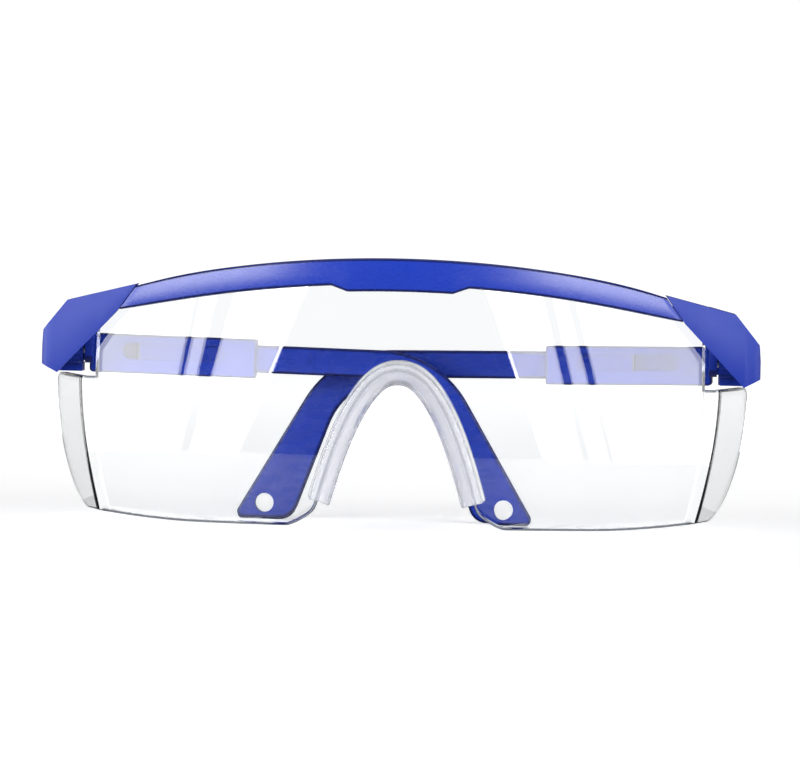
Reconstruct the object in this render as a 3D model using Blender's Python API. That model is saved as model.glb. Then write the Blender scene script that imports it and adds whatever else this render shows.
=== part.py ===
"""Wraparound safety spectacles with ratcheting, folding and telescoping temples.

Lengths in this file are millimetres, and meshes are scaled to metres as they are made. +X is to the
viewer's right, +Y runs from the lens back to the wearer, and +Z is up. The spectacles stand on the
lens's lower edge and on the temple tips at z = 0, with both temples folded behind the lens.
"""

import math

import bmesh
import bpy
import numpy as np
from mathutils import Matrix, Vector

MM = 0.001
DEPTH_MIDDLE = 24.845  # the lens's front is at y = 0 below, and finish() centres the whole depth
GAP = 0.3  # between pieces that touch

# Lens: one bent sheet, with a front on a large arc and a wing at each side.
FRONT_RADIUS = 110.0
LENS_THICKNESS = 2.0
FOLD_RADIUS = 2.4
WING_HEADING = math.radians(76.2)  # of the wing in plan, measured from +X
WING_LENGTH = 28.0
WING_TOP = 30.3
WING_CORNER = 16.0  # radius of the wing's lower rear corner
WING_TOP_CORNER = 3.0
FOLD_ARC_LOW, FOLD_ARC_HIGH = 68.7, 74.6  # arc length from the middle to the fold line
FOLD_ARC = 72.0  # the same at the column grid's own scale
FOLD_Z_LOW, FOLD_Z_HIGH = 1.5, 29.0  # heights where those two lengths hold
FOLD_BOW = 1.65  # power of the fold line's curve
LENS_SIDE = 67.5  # the front's upper part ends here, beside the hinge
LENS_IN_BROW = 3.0  # how far the lens goes up into the brow bar's groove
LENS_LOW_CORNER = 1.5  # height of the lower edge at the fold line
LENS_ROWS = 5  # points up each column of the sheet
LENS_UNDER_HOUSING = (61.0, 47.3, 0.83)  # x and z on the slanting edge inside a housing, and its drop per mm

SLOT_PAST_LENS = 1.1  # the lens's slot in its neighbours runs on past its side edges
SLOT_DEPTH = 14.0

# Nose cut-out: its edge is NOSE_TOP - NOSE_DROP * (|x| / NOSE_WIDTH) ** NOSE_POWER.
NOSE_TOP, NOSE_DROP, NOSE_WIDTH, NOSE_POWER = 33.2, 3.8, 6.75, 2.2
NOSE_PIECE_END = 16.7  # x of the nose piece's lower ends
FLARE_START, FLARE_WIDTH = 23.5, 6.5  # the foot rises towards the cut-out from this x, over this width
FLARE_RISE, FLARE_POWER = 3.7, 1.4

# Brow bar and the slanted seams where the hinge housings carry on from it.
BROW_TOP, BROW_TOP_DROP = 57.4, 0.00211
BROW_LOW, BROW_LOW_DROP = 51.7, 0.00199
BROW_FRONT, BROW_BACK = 2.3, -5.5  # from the lens's outer face, outwards positive
BROW_MIDDLE_EXTRA = 1.4  # the middle reaches this much lower
BROW_MIDDLE_HALF, BROW_MIDDLE_SLOPE = 14.4, 3.4  # its half width, and the slope at each end
SEAM_X, SEAM_Z = 58.5, 47.45
SEAM_SLANT = 0.71

# Hinge housings, as their outlines from the front and from above.
HOUSING_RIGHT, HOUSING_BACK = 77.7, 37.5
HOUSING_TOP_LINE = [(56.6, 50.55), (72.0, 46.6), (77.3, 40.1), (77.7, 36.5)]
HOUSING_LOW_LINE = [(77.7, 32.7), (74.0, 30.9), (66.5, 38.7), (61.0, 44.4)]
HOUSING_WALL = 1.8
HOUSING_FRONT_CORNER = 23.2  # y of the front where it turns back along the side
EAR_LEFT, EAR_RIGHT = 66.5, 68.2
EAR_LOW, EAR_FRONT, EAR_BACK = 33.0, 25.9, 31.5

# Hinges of one temple, at the right side.
TILT_Y, TILT_Z = 28.5, 36.0
FOLD_X, FOLD_Y = 71.4, 35.0
HINGE_Z = 35.21
DRUM_LEFT, DRUM_RIGHT, DRUM_RADIUS, DRUM_TEETH = 68.6, 74.2, 3.2, 18
BARREL_RADIUS = 2.7
BARREL_HALF = 1.9
LUG_HALF = 4.1
TILT_PIN_RADIUS, FOLD_PIN_RADIUS = 1.0, 0.8
PIN_CLEARANCE = 0.08

# Temples: u runs from the fold axis to the tip, v through the thickness and w up.
DROOP = math.radians(1.0)
SLEEVE_START, SLEEVE_END = 4.0, 40.3
SLEEVE_HALF_HEIGHT, SLEEVE_HALF_THICKNESS = 4.2, 2.3
ARM_HALF_HEIGHT, ARM_HALF_THICKNESS = 3.0, 1.1
SLOT_START, SLOT_END, SLOT_HEIGHT, SLOT_W = 11.6, 33.5, 3.6, 0.7
SLOT_CORNER = 1.6
TONGUE_START = 14.5
CORD_HOLE_U, CORD_HOLE_W, CORD_HOLE_RADIUS = 94.8, -30.4, 2.05
REST_ANGLE = {"left": -2.5, "right": 4.5}  # degrees behind the line across the hinges
REST_EXTENSION = {"left": 0.0, "right": 6.6}
SIDES = {"left": -1, "right": 1}

FRAME_BLUE = (0.035, 0.062, 0.40)
PIN_STEEL = (0.62, 0.63, 0.65)
CLEAR = (0.93, 0.95, 0.96)


# ---------------------------------------------------------------- materials and objects


def material(name, colour, roughness, metallic=0.0, transmission=0.0):
    made = bpy.data.materials.new(name)
    made.use_nodes = True
    shader = made.node_tree.nodes["Principled BSDF"]
    shader.inputs["Base Color"].default_value = (*colour, 1.0)
    shader.inputs["Roughness"].default_value = roughness
    shader.inputs["Metallic"].default_value = metallic
    shader.inputs["Transmission Weight"].default_value = transmission
    made.diffuse_color = (*colour, 1.0)
    return made


def scaled(points):
    return [Vector(p) * MM for p in points]


def object_of(name, points, faces):
    """An object from points and faces, with its faces turned to point out."""
    mesh = bpy.data.meshes.new(name)
    mesh.from_pydata(scaled(points), [], faces)
    shape = bmesh.new()
    shape.from_mesh(mesh)
    bmesh.ops.recalc_face_normals(shape, faces=shape.faces)
    shape.to_mesh(mesh)
    shape.free()
    made = bpy.data.objects.new(name, mesh)
    bpy.context.scene.collection.objects.link(made)
    return made


def apply_modifiers(made):
    bpy.context.view_layer.update()
    graph = bpy.context.evaluated_depsgraph_get()
    mesh = bpy.data.meshes.new_from_object(made.evaluated_get(graph), depsgraph=graph)
    made.modifiers.clear()
    made.data = mesh


def finish(made, its_material, location=(0, 0, 0), turn=0.0):
    """Shades a piece and moves it from where it was modelled to its place, often a joint's axis."""
    made.data.materials.clear()
    made.data.materials.append(its_material)
    made.data.shade_smooth()
    made.data.set_sharp_from_angle(angle=math.radians(35))
    made.location = (Vector(location) - Vector((0, DEPTH_MIDDLE, 0))) * MM
    made.rotation_euler.z = turn


def boolean(made, other, operation):
    """Cuts or joins another solid, which is used up."""
    modifier = made.modifiers.new(operation, "BOOLEAN")
    modifier.operation = operation
    modifier.solver = "EXACT"
    modifier.object = other
    apply_modifiers(made)
    bpy.data.objects.remove(other)


def bevel(made, width, segments=2, angle=40):
    modifier = made.modifiers.new("edges", "BEVEL")
    modifier.width = width * MM
    modifier.segments = segments
    modifier.limit_method = "ANGLE"
    modifier.angle_limit = math.radians(angle)
    modifier.use_clamp_overlap = True
    apply_modifiers(made)


def flip_left_to_right(made):
    made.data.transform(Matrix.Diagonal((-1, 1, 1, 1)))
    made.data.flip_normals()


# ---------------------------------------------------------------- outlines and solids


def filleted(corners):
    """An outline's points from (x, y, radius) corners, each rounded by an arc of its radius."""
    outline = []
    count = len(corners)
    for i, (x, y, radius) in enumerate(corners):
        corner = np.array([x, y])
        if radius == 0:
            outline.append((x, y))
            continue
        before = np.array(corners[i - 1][:2]) - corner
        after = np.array(corners[(i + 1) % count][:2]) - corner
        before /= np.linalg.norm(before)
        after /= np.linalg.norm(after)
        half = math.acos(np.clip(before @ after, -1, 1)) / 2
        reach = radius / math.tan(half)
        middle = (before + after) / np.linalg.norm(before + after)
        centre = corner + middle * radius / math.sin(half)
        start = corner + before * reach - centre
        sweep = math.pi - 2 * half
        side = np.sign(before[0] * after[1] - before[1] * after[0])
        steps = max(3, round(math.degrees(sweep) / 12))
        for k in range(steps + 1):
            a = -side * sweep * k / steps
            turned = (
                start[0] * math.cos(a) - start[1] * math.sin(a),
                start[0] * math.sin(a) + start[1] * math.cos(a),
            )
            outline.append((centre[0] + turned[0], centre[1] + turned[1]))
    return outline


def prism(name, outline, low, high, place):
    """A solid between two copies of an outline. place(a, b, c) gives the point, with c along it."""
    count = len(outline)
    points = [place(a, b, c) for c in (low, high) for a, b in outline]
    sides = [(i, (i + 1) % count, count + (i + 1) % count, count + i) for i in range(count)]
    faces = [tuple(range(count)), tuple(range(count, 2 * count)), *sides]
    return object_of(name, points, faces)


def circle(radius, sides, centre=(0.0, 0.0)):
    angles = [2 * math.pi * (k + 0.5) / sides for k in range(sides)]
    return [(centre[0] + radius * math.cos(a), centre[1] + radius * math.sin(a)) for a in angles]


def along_x(a, b, c):
    return (c, a, b)


def along_y(a, b, c):
    return (a, c, b)


def along_z(a, b, c):
    return (a, b, c)


def grid_solid(name, front, back):
    """A closed sheet from two grids of points, each a list of columns of equal length."""
    columns, rows = len(front), len(front[0])
    points = [p for column in front for p in column] + [p for column in back for p in column]
    offset = columns * rows
    faces = []
    for i in range(columns - 1):
        for j in range(rows - 1):
            a, b = i * rows + j, (i + 1) * rows + j
            faces.append((a, b, b + 1, a + 1))
            faces.append((offset + a + 1, offset + b + 1, offset + b, offset + a))
    rim = [i * rows for i in range(columns)]
    rim += [(columns - 1) * rows + j for j in range(1, rows)]
    rim += [i * rows + rows - 1 for i in range(columns - 2, -1, -1)]
    rim += [j for j in range(rows - 2, 0, -1)]
    for a, b in zip(rim, rim[1:] + rim[:1]):
        faces.append((b, a, offset + a, offset + b))
    return object_of(name, points, faces)


# ---------------------------------------------------------------- lens, brow bar and nose piece


def plan_point(arc, fold_arc, offset):
    """The point at an arc length along the lens's outer face in plan, moved outwards by offset."""
    size = abs(arc)
    turn = WING_HEADING - fold_arc / FRONT_RADIUS
    half_bend = turn * FOLD_RADIUS / 2
    bend_start = fold_arc - half_bend
    start_heading = bend_start / FRONT_RADIUS
    bend_length = (WING_HEADING - start_heading) * FOLD_RADIUS
    heading = min(size, bend_start) / FRONT_RADIUS
    x = FRONT_RADIUS * math.sin(heading)
    y = FRONT_RADIUS * (1 - math.cos(heading))
    if size > bend_start:
        bent = min(size - bend_start, bend_length)
        heading = start_heading + bent / FOLD_RADIUS
        x += FOLD_RADIUS * (math.sin(heading) - math.sin(start_heading))
        y += FOLD_RADIUS * (math.cos(start_heading) - math.cos(heading))
        straight = size - bend_start - bent
        x += straight * math.cos(heading)
        y += straight * math.sin(heading)
    x += offset * math.sin(heading)
    y -= offset * math.cos(heading)
    return math.copysign(x, arc), y


def fold_arc_at(z):
    """The fold line leans outwards from its low end and is upright at its high end."""
    below = min(max((FOLD_Z_HIGH - z) / (FOLD_Z_HIGH - FOLD_Z_LOW), 0), 1.2)
    return FOLD_ARC_HIGH - (FOLD_ARC_HIGH - FOLD_ARC_LOW) * below**FOLD_BOW


def lens_point(column, z, offset):
    """A lens point. Columns run straight down in the middle and lean with the fold line outside."""
    size = abs(column)
    lean = min(max((size - 30) / (FOLD_ARC - 30), 0), 1)
    fold_arc = fold_arc_at(z)
    arc = size + (fold_arc - FOLD_ARC) * lean * lean * (3 - 2 * lean)
    x, y = plan_point(math.copysign(arc, column), fold_arc, offset)
    return (x, y, z)


def nose_edge(x):
    return NOSE_TOP - NOSE_DROP * (abs(x) / NOSE_WIDTH) ** NOSE_POWER


def lens_low(column):
    """Height of the lens's lower edge: the nose cut-out, the level foot and the wing's corner."""
    size = abs(column)
    foot = LENS_LOW_CORNER * min(max((size - 42) / (FOLD_ARC - 42), 0), 1) ** 2
    foot += FLARE_RISE * max((FLARE_START - size) / FLARE_WIDTH, 0) ** FLARE_POWER
    along_wing = size - FOLD_ARC - (WING_LENGTH - WING_CORNER)
    if along_wing > 0:
        across = min(along_wing / WING_CORNER, 1)
        return foot + WING_CORNER * (1 - math.sqrt(1 - across * across))
    nose = nose_edge(FRONT_RADIUS * math.sin(size / FRONT_RADIUS))
    return foot + math.log(math.exp(nose - foot) + 1)


def brow_low(x):
    return BROW_LOW - BROW_LOW_DROP * x * x


def lens_high(column):
    size = abs(column)
    x = FRONT_RADIUS * math.sin(size / FRONT_RADIUS)
    under_brow = brow_low(x) + LENS_IN_BROW
    edge_x, edge_z, edge_drop = LENS_UNDER_HOUSING
    under_housing = edge_z - edge_drop * (x - edge_x)
    edge = min(under_brow, under_housing)
    if size <= LENS_SIDE:
        return edge
    along_wing = size - FOLD_ARC - (WING_LENGTH - WING_TOP_CORNER)
    if along_wing <= 0:
        return WING_TOP
    across = min(along_wing / WING_TOP_CORNER, 1)
    return WING_TOP - WING_TOP_CORNER * (1 - math.sqrt(1 - across * across))


def lens_columns():
    middle = [float(x) for x in range(0, 22)]
    front = [float(x) for x in np.linspace(23, LENS_SIDE, 13)]
    bend = [LENS_SIDE + 0.3, 69.0, 70.2, 71.1, 72.0, 72.9, 74.0, 76.0, 79.0]
    end = FOLD_ARC + WING_LENGTH
    corner = [end - WING_CORNER * (1 - math.sin(math.radians(a))) for a in range(10, 91, 10)]
    half = sorted(set(middle + front + bend + corner))
    return [-c for c in reversed(half[1:])] + half


def make_lens(clear):
    front, back = [], []
    for column in lens_columns():
        heights = np.linspace(lens_low(column), lens_high(column), LENS_ROWS)
        front.append([lens_point(column, z, 0.0) for z in heights])
        back.append([lens_point(column, z, -LENS_THICKNESS) for z in heights])
    finish(grid_solid("lens", front, back), clear)


def lens_slot(name):
    """The space that the lens's upper edge needs in the brow bar and the housings."""
    columns = [c for c in lens_columns() if abs(c) <= LENS_SIDE]
    columns = [columns[0] - SLOT_PAST_LENS, *columns, columns[-1] + SLOT_PAST_LENS]
    front, back = [], []
    for column in columns:
        high = lens_high(math.copysign(min(abs(column), LENS_SIDE), column)) + GAP
        heights = np.linspace(high - SLOT_DEPTH, high, 3)
        front.append([lens_point(column, z, GAP) for z in heights])
        back.append([lens_point(column, z, -LENS_THICKNESS - GAP) for z in heights])
    return grid_solid(name, front, back)


def brow_stations():
    """x shares from seam to seam, with stations where the deeper middle starts and ends."""
    start, end = BROW_MIDDLE_HALF - BROW_MIDDLE_SLOPE, BROW_MIDDLE_HALF
    middle = [0.0, start / 2, start - 0.5, *np.linspace(start + 0.2, end - 0.4, 3), end + 0.4]
    half = [mark / SEAM_X for mark in (*middle, *np.arange(20.0, SEAM_X, 5.0), SEAM_X)]
    return [-h for h in reversed(half[1:])] + half


def brow_section(x):
    """One section of the brow bar as (outward, height) points."""
    deeper = BROW_MIDDLE_EXTRA * min(max((BROW_MIDDLE_HALF - abs(x)) / BROW_MIDDLE_SLOPE, 0), 1)
    low, high = brow_low(x) - deeper, BROW_TOP - BROW_TOP_DROP * x * x
    return [
        (BROW_FRONT, low + 0.4),
        (BROW_FRONT, high - 0.7),
        (BROW_FRONT - 0.7, high),
        (BROW_BACK + 1.4, high - 0.3),
        (BROW_BACK, high - 1.6),
        (BROW_BACK, low + 1.2),
        (BROW_BACK + 0.9, low + 0.3),
        (BROW_FRONT - 0.4, low),
    ]


def brow_point(share, offset, z):
    x = share * SEAM_X + math.copysign(abs(share) ** 6, share) * (SEAM_Z - z) * SEAM_SLANT
    arc = FRONT_RADIUS * math.asin(x / FRONT_RADIUS)
    heading = abs(arc) / FRONT_RADIUS
    y = FRONT_RADIUS * (1 - math.cos(heading)) - offset * math.cos(heading)
    sideways = offset * math.sin(heading)
    kept = abs(share) ** 6  # at its ends the bar is cut straight back along Y
    y -= sideways * kept * math.tan(heading)
    return (x + math.copysign(sideways * (1 - kept), x), y, z)


def swept(name, sections):
    """A closed solid through sections of equal length, with flat ends."""
    count, sides = len(sections), len(sections[0])
    points = [p for section in sections for p in section]
    faces = [tuple(range(sides)), tuple(range((count - 1) * sides, count * sides))]
    for i in range(count - 1):
        for j in range(sides):
            a, b = i * sides + j, i * sides + (j + 1) % sides
            faces.append((a, b, b + sides, a + sides))
    return object_of(name, points, faces)


def make_brow_bar(blue):
    sections = []
    for share in brow_stations():
        section = brow_section(share * SEAM_X)
        sections.append([brow_point(share, offset, z) for offset, z in section])
    bar = swept("brow_bar", sections)
    boolean(bar, lens_slot("brow_bar lens slot"), "DIFFERENCE")
    finish(bar, blue)


NOSE_SECTION = [  # (behind the lens's outer face, outwards from the cut-out's edge)
    (-1.5, -2.4),
    (-1.5, 1.5),
    (-1.1, 1.9),
    (-0.35, 1.9),
    (-0.35, -0.35),
    (2.4, -0.35),
    (2.4, 1.9),
    (3.3, 1.9),
    (3.6, 1.5),
    (3.6, 0.3),
    (9.6, 2.4),
    (10.3, 2.0),
    (10.0, 1.2),
    (4.5, -1.7),
    (-1.0, -2.8),
]


def make_nose_piece(clear):
    sections = []
    shares = np.linspace(-1, 1, 41)
    for share in shares:
        x = math.copysign(NOSE_PIECE_END * abs(share) ** 0.8, share)
        slope = NOSE_DROP * NOSE_POWER / NOSE_WIDTH * (abs(x) / NOSE_WIDTH) ** (NOSE_POWER - 1)
        across = Vector((math.copysign(slope, x), 1.0)).normalized()
        base_y = x * x / (2 * FRONT_RADIUS)
        z = nose_edge(x)
        section = [(x + across.x * b, base_y + a, z + across.y * b) for a, b in NOSE_SECTION]
        sections.append(section)
    finish(swept("nose_piece", sections), clear)


# ---------------------------------------------------------------- hinge housings


def mirrored(place, side):
    return lambda a, b, c: tuple(v * s for v, s in zip(place(a, b, c), (side, 1, 1)))


def front_curve(offset, start, stop, steps):
    """Plan points of the front arc moved outwards, between two arc lengths, as if it never folded."""
    arcs = np.linspace(start, stop, steps)
    return [plan_point(arc, 2 * stop, offset) for arc in arcs]


def housing_plan():
    corner = HOUSING_FRONT_CORNER
    return [
        *front_curve(BROW_FRONT, 54.0, 68.0, 7),
        (HOUSING_RIGHT - 3.4, corner),
        (HOUSING_RIGHT - 1.4, corner + 1.4),
        (HOUSING_RIGHT - 0.3, corner + 3.4),
        (HOUSING_RIGHT, corner + 6.0),
        (HOUSING_RIGHT, HOUSING_BACK),
        (EAR_LEFT, HOUSING_BACK),
        (EAR_LEFT, 30.5),
        (54.0, 21.0),
    ]


def cavity_plan():
    inner_right = HOUSING_RIGHT - HOUSING_WALL
    corner = HOUSING_FRONT_CORNER + HOUSING_WALL
    return [
        (EAR_RIGHT, corner - 2.6),
        (inner_right - 1.7, corner - 0.3),
        (inner_right, corner + 2.2),
        (inner_right, HOUSING_BACK + 8),
        (EAR_LEFT - 4, HOUSING_BACK + 8),
        (EAR_LEFT - 4, EAR_BACK + GAP),
        (EAR_RIGHT, EAR_BACK + GAP),
    ]


def cavity_front():
    return [
        (EAR_LEFT - 4, 20.0),
        (EAR_LEFT - 4, 46.5),
        (71.2, 44.6),
        (75.5, 39.5),
        (75.9, 36.0),
        (75.9, 20.0),
    ]


def make_housing(side_name, side, blue):
    name = f"{side_name}_hinge_housing"
    front = HOUSING_TOP_LINE + HOUSING_LOW_LINE
    shell = prism(name, front, 0.0, 60.0, mirrored(along_y, side))
    plan = prism(f"{name} plan", housing_plan(), 0.0, 80.0, mirrored(along_z, side))
    boolean(shell, plan, "INTERSECT")
    ear_outline = filleted([
        (EAR_FRONT, EAR_LOW, 1.5),
        (EAR_BACK, EAR_LOW, 2.0),
        (EAR_BACK, 42.0, 0),
        (EAR_FRONT, 42.0, 0),
    ])
    ear = prism(f"{name} ear", ear_outline, EAR_LEFT, EAR_RIGHT, mirrored(along_x, side))
    boolean(shell, ear, "UNION")
    cavity = prism(f"{name} cavity", cavity_front(), 10.0, 50.0, mirrored(along_y, side))
    cavity_shape = prism(f"{name} cavity plan", cavity_plan(), 10.0, 60.0, mirrored(along_z, side))
    boolean(cavity, cavity_shape, "INTERSECT")
    boolean(shell, cavity, "DIFFERENCE")
    boolean(shell, lens_slot(f"{name} lens slot"), "DIFFERENCE")
    hole = circle(TILT_PIN_RADIUS + GAP, 20, (TILT_Y, TILT_Z))
    bore = prism(f"{name} bore", hole, EAR_LEFT - 2, HOUSING_RIGHT - 0.6, mirrored(along_x, side))
    boolean(shell, bore, "DIFFERENCE")
    finish(shell, blue)


def make_tilt_pin(side_name, side, steel):
    name = f"{side_name}_tilt_pin"
    outline = circle(TILT_PIN_RADIUS, 20)
    pin = prism(name, outline, EAR_LEFT + 0.1, HOUSING_RIGHT - 1.0, mirrored(along_x, side))
    finish(pin, steel, (0, TILT_Y, TILT_Z))


# ---------------------------------------------------------------- temples


def make_knuckle(side_name, side, blue):
    """The ratchet knuckle: a toothed drum on the tilt pin, carrying the fold hinge's two lugs."""
    name = f"{side_name}_ratchet_knuckle"
    place = mirrored(lambda a, b, c: (c, a - TILT_Y, b - TILT_Z), side)
    teeth = []
    for k in range(DRUM_TEETH * 2):
        angle = math.pi * (k + 0.5) / DRUM_TEETH
        radius = DRUM_RADIUS - (0.35 if k % 2 else 0.0)
        teeth.append((TILT_Y + radius * math.cos(angle), TILT_Z + radius * math.sin(angle)))
    knuckle = prism(name, teeth, DRUM_LEFT, DRUM_RIGHT, place)
    web_outline = [
        (TILT_Y + 0.5, HINGE_Z - LUG_HALF),
        (TILT_Y + 3.4, HINGE_Z - LUG_HALF),
        (TILT_Y + 3.4, HINGE_Z + LUG_HALF),
        (TILT_Y + 0.5, HINGE_Z + LUG_HALF - 0.6),
    ]
    web = prism(f"{name} web", web_outline, FOLD_X - 2.4, FOLD_X + 2.5, place)
    boolean(knuckle, web, "UNION")
    upright = mirrored(lambda a, b, c: (a, b - TILT_Y, c - TILT_Z), side)
    lug_outline = [
        (FOLD_X - 2.4, TILT_Y + 2.0),
        (FOLD_X + 2.4, TILT_Y + 2.0),
        *[
            (FOLD_X + BARREL_RADIUS * math.cos(a), FOLD_Y + BARREL_RADIUS * math.sin(a))
            for a in np.radians(np.arange(-20, 201, 20))
        ],
    ]
    for end, low in (("upper", HINGE_Z + BARREL_HALF + GAP), ("lower", HINGE_Z - LUG_HALF)):
        high = low + LUG_HALF - BARREL_HALF - GAP
        lug = prism(f"{name} {end} lug", lug_outline, low, high, upright)
        boolean(knuckle, lug, "UNION")
    tilt_hole = circle(TILT_PIN_RADIUS + PIN_CLEARANCE, 20, (TILT_Y, TILT_Z))
    tilt_bore = prism(f"{name} tilt bore", tilt_hole, DRUM_LEFT - 2, DRUM_RIGHT + 2, place)
    boolean(knuckle, tilt_bore, "DIFFERENCE")
    fold_hole = circle(FOLD_PIN_RADIUS + PIN_CLEARANCE, 16, (FOLD_X, FOLD_Y))
    fold_bore = prism(f"{name} fold bore", fold_hole, HINGE_Z - 9, HINGE_Z + 9, upright)
    boolean(knuckle, fold_bore, "DIFFERENCE")
    finish(knuckle, blue, (0, TILT_Y, TILT_Z))


def fold_axis(side):
    return (side * FOLD_X, FOLD_Y, HINGE_Z)


def rest_turn(side_name, side):
    return -side * math.radians(REST_ANGLE[side_name])


def temple_place(side, extension=0.0):
    """Turns (u, w, v) into the temple's own frame, with u drooping towards the tip."""
    cos, sin = math.cos(DROOP), math.sin(DROOP)

    def place(u, w, v):
        u += extension
        return (-side * (u * cos + w * sin), v, w * cos - u * sin)

    return place


def make_fold_pin(side_name, side, steel):
    half = LUG_HALF - 0.1
    pin = prism(f"{side_name}_fold_pin", circle(FOLD_PIN_RADIUS, 16), -half, half, along_z)
    finish(pin, steel, fold_axis(side))


def make_sleeve(side_name, side, blue):
    """The sleeve is modelled for the left side and mirrored for the right."""
    name = f"{side_name}_temple_sleeve"
    place = temple_place(SIDES["left"])
    high, deep = SLEEVE_HALF_HEIGHT, SLEEVE_HALF_THICKNESS
    body_outline = filleted([
        (SLEEVE_START, -high, 0.8),
        (SLEEVE_END, -high, 0.4),
        (SLEEVE_END, high, 0.4),
        (SLEEVE_START, high, 0.8),
    ])
    sleeve = prism(name, body_outline, -deep, deep, place)
    bevel(sleeve, 0.6)
    neck_outline = [(0.0, -1.6), (SLEEVE_START + 1, -1.6), (SLEEVE_START + 1, 1.6), (0.0, 1.6)]
    neck = prism(f"{name} neck", neck_outline, -BARREL_HALF, BARREL_HALF, along_z)
    boolean(sleeve, neck, "UNION")
    outline = circle(BARREL_RADIUS, 24)
    barrel = prism(f"{name} barrel", outline, -BARREL_HALF, BARREL_HALF, along_z)
    boolean(sleeve, barrel, "UNION")
    room_w, room_v = ARM_HALF_HEIGHT + GAP, ARM_HALF_THICKNESS + GAP
    room = [
        (SLEEVE_START + 2.5, -room_w),
        (SLEEVE_END + 5, -room_w),
        (SLEEVE_END + 5, room_w),
        (SLEEVE_START + 2.5, room_w),
    ]
    channel = prism(f"{name} channel", room, -room_v, room_v, place)
    half = SLOT_HEIGHT / 2
    slot_outline = filleted([
        (SLOT_START, SLOT_W - half, SLOT_CORNER),
        (SLOT_END, SLOT_W - half, SLOT_CORNER),
        (SLOT_END, SLOT_W + half, SLOT_CORNER),
        (SLOT_START, SLOT_W + half, SLOT_CORNER),
    ])
    slot = prism(f"{name} slot", slot_outline, -deep - 2, -room_v / 2, place)
    boolean(channel, slot, "UNION")
    boolean(sleeve, channel, "DIFFERENCE")
    hole = circle(FOLD_PIN_RADIUS + PIN_CLEARANCE, 16)
    bore = prism(f"{name} bore", hole, -BARREL_HALF - 2, BARREL_HALF + 2, along_z)
    boolean(sleeve, bore, "DIFFERENCE")
    if side > 0:
        flip_left_to_right(sleeve)
    finish(sleeve, blue, fold_axis(side), rest_turn(side_name, side))


ARM_CORNERS = [  # (u, w, corner radius) of the arm's outline from the tongue round the hook
    (TONGUE_START, ARM_HALF_HEIGHT, 0.6),
    (79.6, ARM_HALF_HEIGHT, 22.0),
    (101.6, -33.3, 1.1),
    (88.6, -33.55, 4.0),
    (76.8, -ARM_HALF_HEIGHT, 16.0),
    (TONGUE_START, -ARM_HALF_HEIGHT, 0.6),
]


def make_arm(side_name, side, blue):
    name = f"{side_name}_temple_arm"
    place = temple_place(side, REST_EXTENSION[side_name])
    half = ARM_HALF_THICKNESS
    arm = prism(name, filleted(ARM_CORNERS), -half, half, place)
    bevel(arm, 0.45)
    hole = circle(CORD_HOLE_RADIUS, 24, (CORD_HOLE_U, CORD_HOLE_W))
    cord_hole = prism(f"{name} cord hole", hole, -half - 2, half + 2, place)
    boolean(arm, cord_hole, "DIFFERENCE")
    finish(arm, blue, fold_axis(side), rest_turn(side_name, side))


# ---------------------------------------------------------------- the whole object


def clear_scene():
    for old in list(bpy.data.objects):
        bpy.data.objects.remove(old)


def main():
    clear_scene()
    blue = material("blue_nylon", FRAME_BLUE, 0.28)
    clear = material("clear_polycarbonate", CLEAR, 0.04, transmission=1.0)
    soft_clear = material("clear_nose_piece", CLEAR, 0.15, transmission=1.0)
    steel = material("pin_steel", PIN_STEEL, 0.3, metallic=1.0)
    make_lens(clear)
    make_brow_bar(blue)
    make_nose_piece(soft_clear)
    for side_name, side in SIDES.items():
        make_housing(side_name, side, blue)
        make_tilt_pin(side_name, side, steel)
        make_knuckle(side_name, side, blue)
        make_fold_pin(side_name, side, steel)
        make_sleeve(side_name, side, blue)
        make_arm(side_name, side, blue)


main()
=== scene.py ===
"""Looks of the wraparound safety spectacles: fine meshes, procedural materials, light and camera.

Lengths in the shape functions are millimetres. +X is to the viewer's right, +Y runs from the lens back to
the wearer and +Z is up. There y is 0 at the lens's front, and placed() moves it to the object's own centre
and scales to metres. The studio is in metres.
"""

import math

import bmesh
import bpy
import numpy as np
from mathutils import Matrix, Vector


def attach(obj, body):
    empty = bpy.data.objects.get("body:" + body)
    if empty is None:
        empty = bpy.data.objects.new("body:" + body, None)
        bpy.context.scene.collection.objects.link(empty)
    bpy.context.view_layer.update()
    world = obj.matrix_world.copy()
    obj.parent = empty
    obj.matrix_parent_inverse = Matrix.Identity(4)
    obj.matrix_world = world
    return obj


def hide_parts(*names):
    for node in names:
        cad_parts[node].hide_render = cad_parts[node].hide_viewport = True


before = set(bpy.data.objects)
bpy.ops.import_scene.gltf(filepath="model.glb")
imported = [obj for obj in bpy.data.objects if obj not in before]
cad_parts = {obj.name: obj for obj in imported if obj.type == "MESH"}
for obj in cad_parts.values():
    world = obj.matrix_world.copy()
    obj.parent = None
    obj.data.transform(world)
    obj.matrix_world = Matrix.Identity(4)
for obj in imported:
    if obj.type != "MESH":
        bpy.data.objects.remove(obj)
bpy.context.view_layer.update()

MM = 0.001
DEPTH_MIDDLE = 24.845  # from the lens's front to the middle of the whole depth
GAP = 0.3  # between pieces that touch

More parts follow.
